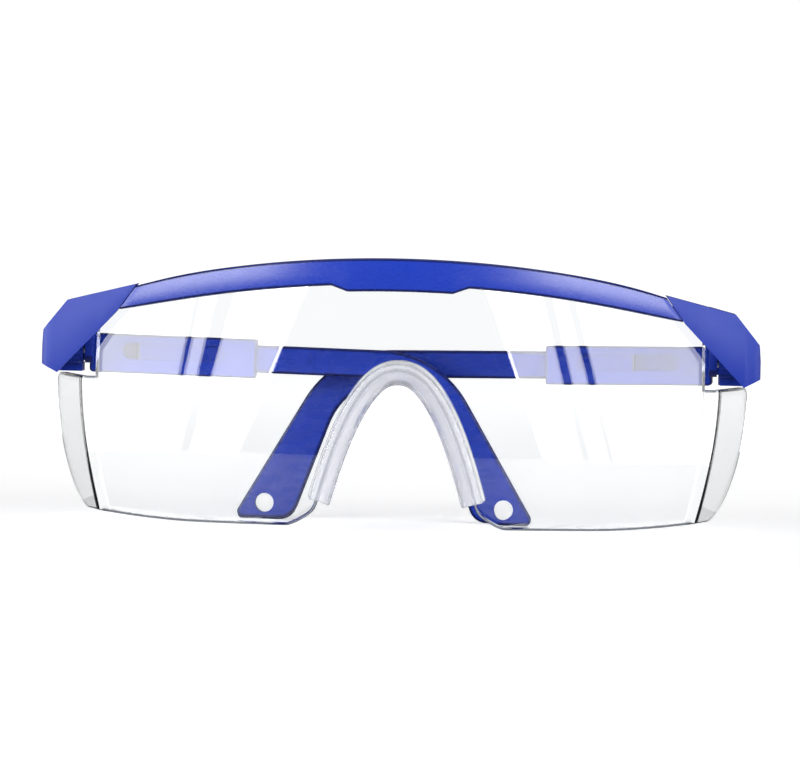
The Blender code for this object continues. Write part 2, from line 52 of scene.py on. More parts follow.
# Lens: one bent sheet, with a front on a large arc and a wing at each side.
FRONT_RADIUS = 110.0
LENS_THICKNESS = 2.0
LENS_EDGE = 0.45  # radius of the rounded edge
FOLD_RADIUS = 0.9
FOLD_GROOVE = 1.35  # how much thinner the sheet is along its fold lines
FOLD_GROOVE_HALF = 2.4
FOLD_ARC_LOW, FOLD_ARC_HIGH = 68.7, 74.6  # arc length from the middle to the fold line
FOLD_ARC = 72.0  # the same at the column grid's own scale
FOLD_Z_LOW, FOLD_Z_HIGH = 1.5, 29.0  # heights where those two lengths hold
FOLD_BOW = 1.65  # power of the fold line's curve
LEAN_START = 30  # the grid's columns lean towards the fold line from this arc length
WING_HEADING = math.radians(76.2)  # of the wing in plan, measured from +X
WING_LENGTH = 28.0
WING_TOP = 30.3
WING_CORNER = 16.0  # radius of the wing's lower rear corner
WING_TOP_CORNER = 3.0
LENS_SIDE = 67.5  # the front's upper part ends here, beside the hinge
LENS_IN_BROW = 3.0  # how far the lens goes up into the brow bar's groove
LENS_LOW_CORNER = 1.5  # height of the lower edge at the fold line
LENS_RISE_START = 42  # the lower edge rises to that height from this arc length
LENS_UNDER_HOUSING = (61.0, 47.3, 0.83)  # x and z on the slanting edge inside a housing, and its drop per mm
RIM_SHADE_WIDTH = 0.8  # of the band along the edge that gets painted shade
WING_RIM_SHADE = 0.22  # how strong the painted shade on the wing's edge is against the front's
NO_EDGE = 9.0  # stands for a distance to an edge too far to matter

# Nose cut-out: its edge is NOSE_TOP - NOSE_DROP * (|x| / NOSE_WIDTH) ** NOSE_POWER.
NOSE_TOP, NOSE_DROP, NOSE_WIDTH, NOSE_POWER = 33.2, 3.8, 6.75, 2.2
NOSE_PIECE_END = 16.7  # x of the nose piece's lower ends
FLARE_START, FLARE_WIDTH = 23.5, 6.5  # the foot rises towards the cut-out from this x, over this width
FLARE_RISE, FLARE_POWER = 3.7, 1.4
NOSE_CORNERS = [  # section of the nose piece: depth, distance up from the cut-out's edge, corner radius
    (-1.5, -2.5, 0.5),
    (-1.5, 1.8, 0.5),
    (-0.35, 1.9, 0.25),
    (-0.35, -0.35, 0.1),
    (2.4, -0.35, 0.1),
    (2.4, 1.9, 0.25),
    (3.6, 1.85, 0.45),
    (3.6, 0.3, 0.4),
    (9.8, 2.45, 0.35),
    (10.25, 1.3, 0.35),
    (4.5, -1.7, 2.0),
    (-1.0, -2.8, 0.4),
]

# Brow bar and the slanted seams where the hinge housings carry on from it.
BROW_TOP, BROW_TOP_DROP = 57.4, 0.00211
BROW_LOW, BROW_LOW_DROP = 51.7, 0.00199
BROW_FRONT, BROW_BACK = 2.3, -5.5  # from the lens's outer face, outwards positive
BROW_MIDDLE_EXTRA = 1.4  # the middle reaches this much lower
BROW_MIDDLE_HALF, BROW_MIDDLE_SLOPE = 14.4, 3.4  # its half width, and the slope at each end
SEAM_X, SEAM_Z = 58.5, 47.45
SEAM_SLANT = 0.71
SEAM_POWER = 6  # how suddenly the bar's sections turn to the seam near its ends

# Hinges of one temple, at the right side.
FOLD_X, FOLD_Y = 71.4, 35.0
HINGE_Z = 35.21
TILT_Y, TILT_Z = 28.5, 36.0
EAR_LEFT, HOUSING_RIGHT = 66.5, 77.7
BARREL_RADIUS, BARREL_HALF, LUG_HALF = 2.7, 1.9, 4.1
NECK_HALF = 1.6
TILT_PIN_RADIUS, FOLD_PIN_RADIUS, PIN_CLEARANCE = 1.0, 0.8, 0.08
PIN_CHAMFER = 0.2

# Temples: u runs from the fold axis to the tip, v through the thickness and w up.
DROOP = math.radians(1.0)
SLEEVE_START, SLEEVE_END = 4.0, 40.3
SLEEVE_HALF_HEIGHT, SLEEVE_HALF_THICKNESS = 4.2, 2.3
ARM_HALF_HEIGHT, ARM_HALF_THICKNESS = 3.0, 1.1
SLOT_START, SLOT_END, SLOT_HEIGHT, SLOT_W = 11.6, 33.5, 3.6, 0.7
CORD_HOLE_U, CORD_HOLE_W, CORD_HOLE_RADIUS = 94.8, -30.4, 2.05
REST_ANGLE = {"left": -2.5, "right": 4.5}  # degrees behind the line across the hinges
REST_EXTENSION = {"left": 0.0, "right": 6.6}
SIDES = {"left": -1, "right": 1}
ARM_CORNERS = [  # u, w and corner radius
    (14.5, 3.0, 0.6),
    (79.6, 3.0, 22.0),
    (101.6, -33.3, 1.1),
    (88.6, -33.55, 4.0),
    (76.8, -3.0, 16.0),
    (14.5, -3.0, 0.6),
]

# Colours.
NYLON_BLUE = (0.0090, 0.033, 0.335)
# Painted shade: rounded edges and the lens's rim are darkened towards these colours, for the dark outlines
# that light draws along edges.
NYLON_EDGE_SHADE = (0.003, 0.006, 0.06)
CLEAR_EDGE_SHADE = (0.10, 0.115, 0.14)
ROUNDING_WIDTH = 0.3 * MM  # a face narrower than this is taken to be a rounded edge

# Camera.
CAMERA_DISTANCE = 1.6
CAMERA_ELEVATION = math.radians(1.7)
CAMERA_YAW = math.radians(1.0)
CAMERA_ROLL = math.radians(1.3)
CAMERA_LENS = 334.0
CAMERA_AIM = Vector((0.0, 0.0, 0.0285))

# Softboxes seen in the lens. Each is bounded by two lines on the lens, and a line is the pair of x in mm
# where it crosses the heights LINE_HIGH and LINE_LOW. In the list: name, inner line, outer line, kind.
LINE_HIGH, LINE_LOW = 42, 33
PANEL_Z_LOW, PANEL_Z_HIGH = -3, 60
LENS_REACH = 76
PANEL_DISTANCE = 0.9
PANEL_STRENGTH = 5.7
PANELS = [
    ("panel_left_1", (-45.4, -47.0), (-76.0, -76.0), "softbox"),
    ("panel_left_2", (-41.0, -43.0), (-44.0, -45.8), "softbox"),
    ("panel_left_3", (-23.8, -27.4), (-37.4, -39.8), "softbox"),
    ("panel_right_3", (22.1, 25.4), (32.5, 34.9), "softbox_right"),
    ("panel_right_2", (34.6, 36.9), (37.6, 40.2), "softbox_right"),
    ("panel_right_1", (39.5, 41.9), (76.0, 76.0), "softbox_right"),
    ("panel_left_line", (-23.3, -26.9), (-23.8, -27.4), "softbox_edge"),
    ("panel_right_line", (21.6, 24.9), (22.1, 25.4), "softbox_edge"),
]

# The rest of the studio, in metres.
TABLE_HALF_WIDTH, TABLE_FRONT, TABLE_BACK = 0.45, 0.42, 1.2
TABLE_GLOSS_END = 0.04  # the side shields mirror the cards behind this y, not the table
BACKDROP_Y = 2.7
SURROUND = 4.0  # half the size of the white room that only the camera sees


# ---------------------------------------------------------------- shapes


def placed(point):
    """A point of the shape functions in the object's own frame, in metres."""
    x, y, z = point
    return Vector((x, y - DEPTH_MIDDLE, z)) * MM


def mesh_object(name, points, faces, sharp=35):
    """A mesh of placed points. Its edges are smooth up to this angle in degrees."""
    mesh = bpy.data.meshes.new(name)
    mesh.from_pydata([placed(p) for p in points], [], faces)
    shape = bmesh.new()
    shape.from_mesh(mesh)
    bmesh.ops.recalc_face_normals(shape, faces=shape.faces)
    shape.to_mesh(mesh)
    shape.free()
    made = bpy.data.objects.new(name, mesh)
    bpy.context.scene.collection.objects.link(made)
    shade(made, sharp)
    return made


def shade(made, sharp):
    made.data.shade_smooth()
    made.data.set_sharp_from_angle(angle=math.radians(sharp))


def mark_roundings(made):
    """Marks a piece's narrow faces, which are its rounded edges, for its material to paint shade on."""
    points = [np.array(v.co) for v in made.data.vertices]
    marks = []
    for face in made.data.polygons:
        corners = list(face.vertices)
        following = corners[1:] + corners[:1]
        sides = [np.linalg.norm(points[a] - points[b]) for a, b in zip(corners, following)]
        marks.append(1.0 if face.area < ROUNDING_WIDTH * max(sides) else 0.0)
    made.data.attributes.new("rounding_shade", "FLOAT", "FACE").data.foreach_set("value", marks)


def apply_modifiers(made):
    bpy.context.view_layer.update()
    graph = bpy.context.evaluated_depsgraph_get()
    mesh = bpy.data.meshes.new_from_object(made.evaluated_get(graph), depsgraph=graph)
    made.modifiers.clear()
    made.data = mesh


def bevel(made, width, segments, angle=40):
    modifier = made.modifiers.new("edges", "BEVEL")
    modifier.width = width * MM
    modifier.segments = segments
    modifier.limit_method = "ANGLE"
    modifier.angle_limit = math.radians(angle)
    modifier.use_clamp_overlap = True
    apply_modifiers(made)


def boolean(made, other, operation):
    modifier = made.modifiers.new(operation, "BOOLEAN")
    modifier.operation = operation
    modifier.solver = "EXACT"
    modifier.object = other
    apply_modifiers(made)
    bpy.data.objects.remove(other)


def rounded(corners, steps=4):
    """An outline with every corner rounded by an arc of its own radius and the same number of points."""
    outline = []
    count = len(corners)
    for i, (x, y, radius) in enumerate(corners):
        corner = np.array([x, y])
        before = np.array(corners[i - 1][:2]) - corner
        after = np.array(corners[(i + 1) % count][:2]) - corner
        before /= np.linalg.norm(before)
        after /= np.linalg.norm(after)
        half = math.acos(np.clip(before @ after, -1, 1)) / 2
        middle = (before + after) / np.linalg.norm(before + after)
        centre = corner + middle * radius / math.sin(half)
        start = corner + before * radius / math.tan(half) - centre
        sweep = math.pi - 2 * half
        side = np.sign(before[0] * after[1] - before[1] * after[0])
        for k in range(steps + 1):
            a = -side * sweep * k / steps
            turned = np.array([
                start[0] * math.cos(a) - start[1] * math.sin(a),
                start[0] * math.sin(a) + start[1] * math.cos(a),
            ])
            outline.append(tuple(centre + turned))
    return outline


def circle(radius, sides, centre=(0.0, 0.0)):
    angles = [2 * math.pi * (k + 0.5) / sides for k in range(sides)]
    return [(centre[0] + radius * math.cos(a), centre[1] + radius * math.sin(a)) for a in angles]


def prism(name, outline, low, high, place):
    """The outline drawn out from low to high along its third direction, which place() puts in space."""
    count = len(outline)
    points = [place(a, b, c) for c in (low, high) for a, b in outline]
    sides = [(i, (i + 1) % count, count + (i + 1) % count, count + i) for i in range(count)]
    faces = [tuple(range(count)), tuple(range(count, 2 * count)), *sides]
    return mesh_object(name, points, faces)


def swept(name, sections):
    """One closed solid through sections of equally many points."""
    count, sides = len(sections), len(sections[0])
    points = [p for section in sections for p in section]
    faces = [tuple(range(sides)), tuple(range((count - 1) * sides, count * sides))]
    for i in range(count - 1):
        for j in range(sides):
            a, b = i * sides + j, i * sides + (j + 1) % sides
            faces.append((a, b, b + sides, a + sides))
    return mesh_object(name, points, faces)


def grid_solid(name, front, back):
    """One closed sheet between two grids of points, given as columns."""
    columns, rows = len(front), len(front[0])
    points = [p for column in front for p in column] + [p for column in back for p in column]
    offset = columns * rows
    faces = []
    for i in range(columns - 1):
        for j in range(rows - 1):
            a, b = i * rows + j, (i + 1) * rows + j
            faces.append((a, b, b + 1, a + 1))
            faces.append((offset + a + 1, offset + b + 1, offset + b, offset + a))
    rim = [i * rows for i in range(columns)]
    rim += [(columns - 1) * rows + j for j in range(1, rows)]
    rim += [i * rows + rows - 1 for i in range(columns - 2, -1, -1)]
    rim += list(range(rows - 2, 0, -1))
    for a, b in zip(rim, rim[1:] + rim[:1]):
        faces.append((b, a, offset + a, offset + b))
    return mesh_object(name, points, faces, 50)


# ---------------------------------------------------------------- lens


def plan_point(arc, fold_arc, offset):
    """The point at an arc length along the lens's outer face in plan, moved outwards by offset."""
    size = abs(arc)
    turn = WING_HEADING - fold_arc / FRONT_RADIUS
    bend_start = fold_arc - turn * FOLD_RADIUS / 2
    if -offset > FOLD_RADIUS:  # the inner faces meet in a corner, and their points stop short of it
        short = turn * FOLD_RADIUS / 2 - (FOLD_RADIUS + offset) * math.tan(turn / 2)
        past = size - fold_arc
        if abs(past) < short:
            size = fold_arc + math.copysign(short, past) + past * 0.02
    start_heading = bend_start / FRONT_RADIUS
    bend_length = (WING_HEADING - start_heading) * FOLD_RADIUS
    heading = min(size, bend_start) / FRONT_RADIUS
    x = FRONT_RADIUS * math.sin(heading)
    y = FRONT_RADIUS * (1 - math.cos(heading))
    if size > bend_start:
        bent = min(size - bend_start, bend_length)
        heading = start_heading + bent / FOLD_RADIUS
        x += FOLD_RADIUS * (math.sin(heading) - math.sin(start_heading))
        y += FOLD_RADIUS * (math.cos(start_heading) - math.cos(heading))
        straight = size - bend_start - bent
        x += straight * math.cos(heading)
        y += straight * math.sin(heading)
    x += offset * math.sin(heading)
    y -= offset * math.cos(heading)
    return math.copysign(x, arc), y


def lens_point(column, z, offset):
    """The grid column's point at a height, offset outwards from the outer face."""
    size = abs(column)
    lean = min(max((size - LEAN_START) / (FOLD_ARC - LEAN_START), 0), 1)
    below = min(max((FOLD_Z_HIGH - z) / (FOLD_Z_HIGH - FOLD_Z_LOW), 0), 1.2)
    fold_arc = FOLD_ARC_HIGH - (FOLD_ARC_HIGH - FOLD_ARC_LOW) * below**FOLD_BOW
    arc = size + (fold_arc - FOLD_ARC) * lean * lean * (3 - 2 * lean)
    x, y = plan_point(math.copysign(arc, column), fold_arc, offset)
    return (x, y, z)


def nose_edge(x):
    return NOSE_TOP - NOSE_DROP * (abs(x) / NOSE_WIDTH) ** NOSE_POWER


def lens_low(column):
    """Height of the lens's lower edge: the nose cut-out, the level foot and the wing's corner."""
    size = abs(column)
    foot = LENS_LOW_CORNER * min(max((size - LENS_RISE_START) / (FOLD_ARC - LENS_RISE_START), 0), 1) ** 2
    foot += FLARE_RISE * max((FLARE_START - size) / FLARE_WIDTH, 0) ** FLARE_POWER
    along_wing = size - FOLD_ARC - (WING_LENGTH - WING_CORNER)
    if along_wing > 0:
        across = min(along_wing / WING_CORNER, 1)
        return foot + WING_CORNER * (1 - math.sqrt(1 - across * across))
    nose = nose_edge(FRONT_RADIUS * math.sin(size / FRONT_RADIUS))
    return foot + math.log(math.exp(nose - foot) + 1)


def brow_low(x):
    return BROW_LOW - BROW_LOW_DROP * x * x


def lens_high(column):
    """Height of the lens's upper edge: inside the brow bar, under the housing and along the wing."""
    size = abs(column)
    x = FRONT_RADIUS * math.sin(size / FRONT_RADIUS)
    edge_x, edge_z, edge_drop = LENS_UNDER_HOUSING
    edge = min(brow_low(x) + LENS_IN_BROW, edge_z - edge_drop * (x - edge_x))
    if size <= LENS_SIDE:
        return edge
    along_wing = size - FOLD_ARC - (WING_LENGTH - WING_TOP_CORNER)
    if along_wing <= 0:
        return WING_TOP
    across = min(along_wing / WING_TOP_CORNER, 1)
    return WING_TOP - WING_TOP_CORNER * (1 - math.sqrt(1 - across * across))


def lens_columns():
    """Arc lengths of the grid's columns, closer together at the fold lines and the wing's corner."""
    front = list(np.arange(0, 22, 0.5)) + list(np.linspace(22, LENS_SIDE, 70))
    bend = [LENS_SIDE + 0.25, *np.arange(68.0, 79.0, 0.3), *np.arange(79.0, 80.0, 0.5)]
    end = FOLD_ARC + WING_LENGTH
    corner = [end - WING_CORNER * (1 - math.sin(math.radians(a))) for a in range(0, 90, 3)]
    half = sorted({round(c, 4) for c in [*front, *bend, *corner, end - 0.15, end - 0.05, end]})
    return [-c for c in reversed(half[1:])] + half


def smooth_step(value):
    value = min(max(value, 0), 1)
    return value * value * (3 - 2 * value)


def edge_round(distance):
    """How far a face sinks at this distance from the edge, for a rounded edge."""
    left = max(LENS_EDGE - distance, 0)
    return LENS_EDGE - math.sqrt(max(LENS_EDGE**2 - left**2, 0))


def make_lens():
    """The sheet, with every point marked by how near it is to the rim, for the painted shade along the rim.
    """
    insets = [0.0, 0.03, 0.09, 0.18, 0.35, 0.7]  # of the rows that round the edge
    front, back, rim_shades = [], [], []
    for column in lens_columns():
        low, high = lens_low(column), lens_high(column)
        steep_low = math.hypot(1, (lens_low(column + 0.05) - lens_low(column - 0.05)) / 0.1)
        heights = [min(low + d * min(steep_low, 6), (low + high) / 2 - 1 + d) for d in insets]
        middle = np.linspace(heights[-1], high - insets[-1], 26)[1:-1]
        heights += [*middle, *[high - d for d in reversed(insets)]]
        rim = [*insets, *([NO_EDGE] * len(middle)), *reversed(insets)]
        from_end = FOLD_ARC + WING_LENGTH - abs(column)
        sinks = [edge_round(min(d, from_end)) for d in rim]
        # Painted shade along the lens's lower and side edges: full on the front, weaker on the wings, none
        # inside the brow bar.
        for k, inset in enumerate(rim):
            in_brow = k > len(rim) / 2 and abs(column) <= LENS_SIDE
            strength = 1.0 if abs(column) < FOLD_ARC - 1 else WING_RIM_SHADE
            distance = min(from_end, NO_EDGE if in_brow else inset)
            rim_shades.append(strength * max(1 - distance / RIM_SHADE_WIDTH, 0))
        front.append([lens_point(column, z, -s) for z, s in zip(heights, sinks)])
        thin = FOLD_GROOVE * (1 - smooth_step(abs(abs(column) - FOLD_ARC) / FOLD_GROOVE_HALF))
        inner = [s + thin - LENS_THICKNESS for s in sinks]
        back.append([lens_point(column, z, offset) for z, offset in zip(heights, inner)])
    lens = grid_solid("lens_clear_sheet", front, back)
    attribute = lens.data.attributes.new("rim", "FLOAT", "POINT")
    attribute.data.foreach_set("value", np.array(rim_shades + rim_shades, np.float32))
    return lens


# ---------------------------------------------------------------- brow bar and nose piece


def brow_point(share, offset, z):
    """A point of the section at this share of the bar's half length. The end sections lie in the seams."""
    kept = abs(share) ** SEAM_POWER
    x = share * SEAM_X + math.copysign(kept, share) * (SEAM_Z - z) * SEAM_SLANT
    heading = abs(math.asin(x / FRONT_RADIUS))
    y = FRONT_RADIUS * (1 - math.cos(heading)) - offset * math.cos(heading)
    sideways = offset * math.sin(heading)
    y -= sideways * kept * math.tan(heading)
    return (x + math.copysign(sideways * (1 - kept), x), y, z)


def brow_section(x, shrink):
    """One section of the brow bar as (outward, height) points, with its groove for the lens."""
    deeper = BROW_MIDDLE_EXTRA * min(max((BROW_MIDDLE_HALF - abs(x)) / BROW_MIDDLE_SLOPE, 0), 1)
    low, high = brow_low(x) - deeper + shrink, BROW_TOP - BROW_TOP_DROP * x * x - shrink
    front, back = BROW_FRONT - shrink, BROW_BACK + shrink
    groove = brow_low(x) + LENS_IN_BROW + GAP
    return rounded([
        (front, low, 0.55),
        (front, high, 0.6),
        (back, high - 0.2, 1.2),
        (back, low + 0.2, 0.9),
        (-LENS_THICKNESS - GAP, low, 0.2),
        (-LENS_THICKNESS - GAP, groove, 0.15),
        (GAP, groove, 0.15),
        (GAP, low, 0.2),
    ])


def make_brow_bar():
    """The bar through sections at shares of its half length. The last ones shrink, to round its ends."""
    marks = [*np.linspace(0, 10.4, 8), *np.linspace(10.8, 14.8, 13), *np.linspace(16, SEAM_X, 34)]
    half = [m / SEAM_X for m in marks]
    shares = [(-h, 0.0) for h in reversed(half[1:])] + [(h, 0.0) for h in half]
    shares = [(-1.0025, 0.12), (-1.001, 0.03), *[(s, k) for s, k in shares if abs(s) < 0.997]]
    shares += [(1.001, 0.03), (1.0025, 0.12)]
    sections = []
    for share, shrink in shares:
        section = brow_section(share * SEAM_X, shrink)
        sections.append([brow_point(share, offset, z) for offset, z in section])
    return swept("brow_bar_moulding", sections)


def make_nose_piece():
    """The moulding along the cut-out's edge, with the part around the edge itself marked as inner."""
    sections = []
    end_sizes = {1.0: 0.93, 0.998: 0.98}  # the last two sections at each end shrink, to round it
    shares = [-1.0, -0.998, *np.linspace(-0.99, 0.99, 121), 0.998, 1.0]
    outline = rounded(NOSE_CORNERS)
    middle = np.mean(outline, axis=0)
    for share in shares:
        x = math.copysign(NOSE_PIECE_END * abs(share) ** 0.8, share)
        slope = NOSE_DROP * NOSE_POWER / NOSE_WIDTH * (abs(x) / NOSE_WIDTH) ** (NOSE_POWER - 1)
        across = Vector((math.copysign(slope, x), 1.0)).normalized()
        base_y = x * x / (2 * FRONT_RADIUS)
        z = nose_edge(x)
        size = end_sizes.get(abs(share), 1.0)
        shrunk = [middle + (np.array(p) - middle) * size for p in outline]
        sections.append([(x + across.x * b, base_y + a, z + across.y * b) for a, b in shrunk])
    moulding = swept("nose_piece_moulding", sections)
    inner = [min(max((0.6 - b) / 1.2, 0), 1) for _ in shares for _, b in outline]
    moulding.data.attributes.new("inner", "FLOAT", "POINT").data.foreach_set("value", inner)
    return moulding


# ---------------------------------------------------------------- temples


def temple_place(side_name, extension=0.0):
    """Turns the temple's own (u, w, v) into its place at rest."""
    side = SIDES[side_name]
    cos, sin = math.cos(DROOP), math.sin(DROOP)
    turn = -side * math.radians(REST_ANGLE[side_name])
    turn_cos, turn_sin = math.cos(turn), math.sin(turn)

    def place(u, w, v):
        u += extension
        x, y, z = -side * (u * cos + w * sin), v, w * cos - u * sin
        return (
            side * FOLD_X + x * turn_cos - y * turn_sin,
            FOLD_Y + x * turn_sin + y * turn_cos,
            HINGE_Z + z,
        )

    return place


def upright_place(side_name):
    """The same turn about the fold pin, for the level parts around it."""
    side = SIDES[side_name]
    turn = -side * math.radians(REST_ANGLE[side_name])
    turn_cos, turn_sin = math.cos(turn), math.sin(turn)

    def place(a, b, c):
        x, y = -side * a, b
        return (
            side * FOLD_X + x * turn_cos - y * turn_sin,
            FOLD_Y + x * turn_sin + y * turn_cos,
            HINGE_Z + c,
        )

    return place


def make_sleeve(side_name):
    name = f"{side_name}_sleeve_moulding"
    place, upright = temple_place(side_name), upright_place(side_name)
    high, deep = SLEEVE_HALF_HEIGHT, SLEEVE_HALF_THICKNESS
    outline = rounded([
        (SLEEVE_START, -high, 0.8),
        (SLEEVE_END, -high, 0.4),
        (SLEEVE_END, high, 0.4),
        (SLEEVE_START, high, 0.8),
    ], 5)
    sleeve = prism(name, outline, -deep, deep, place)
    bevel(sleeve, 0.8, 5)
    neck_end = SLEEVE_START + 1
    neck_outline = [(0.0, -NECK_HALF), (neck_end, -NECK_HALF), (neck_end, NECK_HALF), (0.0, NECK_HALF)]
    neck = prism(f"{name} neck", neck_outline, -BARREL_HALF, BARREL_HALF, upright)
    boolean(sleeve, neck, "UNION")
    barrel = prism(f"{name} barrel", circle(BARREL_RADIUS, 48), -BARREL_HALF, BARREL_HALF, upright)
    boolean(sleeve, barrel, "UNION")
    room_w, room_v = ARM_HALF_HEIGHT + GAP, ARM_HALF_THICKNESS + GAP
    room = [
        (SLEEVE_START + 2.5, -room_w),
        (SLEEVE_END + 5, -room_w),
        (SLEEVE_END + 5, room_w),
        (SLEEVE_START + 2.5, room_w),
    ]
    channel = prism(f"{name} channel", room, -room_v, room_v, place)
    half = SLOT_HEIGHT / 2
    corner = half * 0.9
    slot_outline = rounded([
        (SLOT_START, SLOT_W - half, corner),
        (SLOT_END, SLOT_W - half, corner),
        (SLOT_END, SLOT_W + half, corner),
        (SLOT_START, SLOT_W + half, corner),
    ], 10)
    slot = prism(f"{name} slot", slot_outline, -deep - 2, -0.4, place)
    boolean(channel, slot, "UNION")
    boolean(sleeve, channel, "DIFFERENCE")
    bore_outline = circle(FOLD_PIN_RADIUS + PIN_CLEARANCE, 24)
    bore = prism(f"{name} bore", bore_outline, -BARREL_HALF - 2, BARREL_HALF + 2, upright)
    boolean(sleeve, bore, "DIFFERENCE")
    shade(sleeve, 30)
    return sleeve


def make_arm(side_name):
    name = f"{side_name}_arm_moulding"
    place = temple_place(side_name, REST_EXTENSION[side_name])
    half = ARM_HALF_THICKNESS
    arm = prism(name, rounded(ARM_CORNERS, 14), -half, half, place)
    bevel(arm, 0.65, 5, 60)
    hole = circle(CORD_HOLE_RADIUS, 64, (CORD_HOLE_U, CORD_HOLE_W))
    boolean(arm, prism(f"{name} cord hole", hole, -half - 2, half + 2, place), "DIFFERENCE")
    shade(arm, 30)
    return arm


def finer_copy(node, name, width):
    """A CAD node's own shape with its flat faces joined and its sharp edges rounded."""
    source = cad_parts[node]
    mesh = source.data.copy()
    shape = bmesh.new()
    shape.from_mesh(mesh)
    bmesh.ops.remove_doubles(shape, verts=shape.verts, dist=1e-6)
    bmesh.ops.dissolve_limit(shape, angle_limit=math.radians(1), verts=shape.verts, edges=shape.edges)
    shape.to_mesh(mesh)
    shape.free()
    made = bpy.data.objects.new(name, mesh)
    bpy.context.scene.collection.objects.link(made)
    bevel(made, width, 3, 30)
    shade(made, 30)
    return made


def make_pin(name, radius, low, high, place):
    """A turned pin with chamfered ends."""
    thin = radius - PIN_CHAMFER
    steps = ((low, thin), (low + PIN_CHAMFER, radius), (high - PIN_CHAMFER, radius), (high, thin))
    return swept(name, [[place(a, b, c) for a, b in circle(r, 40)] for c, r in steps])


# ---------------------------------------------------------------- materials


class Nodes:
    """Short ways to add nodes to one material."""

    def __init__(self, name):
        self.material = bpy.data.materials.new(name)
        self.material.use_nodes = True
        self.tree = self.material.node_tree
        self.shader = self.tree.nodes["Principled BSDF"]
        self.output = self.tree.nodes["Material Output"]
        self.place = self.add("ShaderNodeTexCoord").outputs["Object"]

    def add(self, kind, **values):
        node = self.tree.nodes.new(kind)
        for key, value in values.items():
            setattr(node, key, value)
        return node

    def link(self, source, target):
        self.tree.links.new(source, target)

    def noise(self, scale, detail=2.0, roughness=0.5, stretch=(1, 1, 1)):
        mapping = self.add("ShaderNodeMapping")
        mapping.inputs["Scale"].default_value = stretch
        self.link(self.place, mapping.inputs["Vector"])
        node = self.add("ShaderNodeTexNoise")
        node.inputs["Scale"].default_value = scale
        node.inputs["Detail"].default_value = detail
        node.inputs["Roughness"].default_value = roughness
        self.link(mapping.outputs["Vector"], node.inputs["Vector"])
        return node.outputs["Fac"]

    def ranged(self, value, low, high, source=(0.3, 0.7)):
        """The value mapped from the source range, which is a noise's usual one, to low and high."""
        node = self.add("ShaderNodeMapRange")
        node.inputs["From Min"].default_value = source[0]
        node.inputs["From Max"].default_value = source[1]
        node.inputs["To Min"].default_value = low
        node.inputs["To Max"].default_value = high
        self.link(value, node.inputs["Value"])
        return node.outputs["Result"]

    def blend(self, value, first, second):
        node = self.add("ShaderNodeMix", data_type="RGBA")
        node.inputs[6].default_value = (*first, 1)
        node.inputs[7].default_value = (*second, 1)
        self.link(value, node.inputs[0])
        return node.outputs[2]

    def bump(self, height, strength, distance, normal=None):
        node = self.add("ShaderNodeBump")
        node.inputs["Strength"].default_value = strength
        node.inputs["Distance"].default_value = distance
        self.link(height, node.inputs["Height"])
        if normal is not None:
            self.link(normal, node.inputs["Normal"])
        return node.outputs["Normal"]

    def let_lamps_through(self, share):
        """Lets this share of each lamp's light through, as clear plastic casts hardly any shadow."""
        path = self.add("ShaderNodeLightPath")
        clear = self.add("ShaderNodeBsdfTransparent")
        clear.inputs["Color"].default_value = (share, share, share, 1)
        mix = self.add("ShaderNodeMixShader")
        self.link(path.outputs["Is Shadow Ray"], mix.inputs[0])
        self.link(self.shader.outputs[0], mix.inputs[1])
        self.link(clear.outputs[0], mix.inputs[2])
        self.link(mix.outputs[0], self.output.inputs["Surface"])


def blue_nylon(name, smooth, rough, specular, grain_strength, painted_light_scale):
    """Moulded nylon with a fine grain, and painted shade on its rounded edges. The last argument scales the
    colour as painted light, lighter or darker for a part that light falls on more or less.
    """
    made = Nodes(name)
    darker, lighter = [tuple(c * d for c in NYLON_BLUE) for d in (painted_light_scale * 0.98, painted_light_scale * 1.02)]
    tone = made.blend(made.ranged(made.noise(70, 3), 0, 1), darker, lighter)
    # Painted shade: the rounded edges are darkened towards the edge colour.
    rounding_shade = made.add("ShaderNodeAttribute", attribute_name="rounding_shade").outputs["Fac"]
    edge = made.add("ShaderNodeMix", data_type="RGBA")
    edge.inputs[7].default_value = (*NYLON_EDGE_SHADE, 1)
    made.link(made.ranged(rounding_shade, 0, 0.8, (0, 1)), edge.inputs[0])
    made.link(tone, edge.inputs[6])
    made.link(edge.outputs[2], made.shader.inputs["Base Color"])
    flow = made.noise(260, 4, 0.6, (1, 1, 2.5))
    made.link(made.ranged(flow, smooth, rough), made.shader.inputs["Roughness"])
    ripple = made.bump(made.noise(110, 2), 0.01, 0.0002)
    grain = made.bump(made.noise(5200, 3, 0.6), grain_strength, 0.00003, ripple)
    made.link(grain, made.shader.inputs["Normal"])
    made.shader.inputs["IOR"].default_value = 1.53
    made.shader.inputs["Specular IOR Level"].default_value = specular
    return made.material


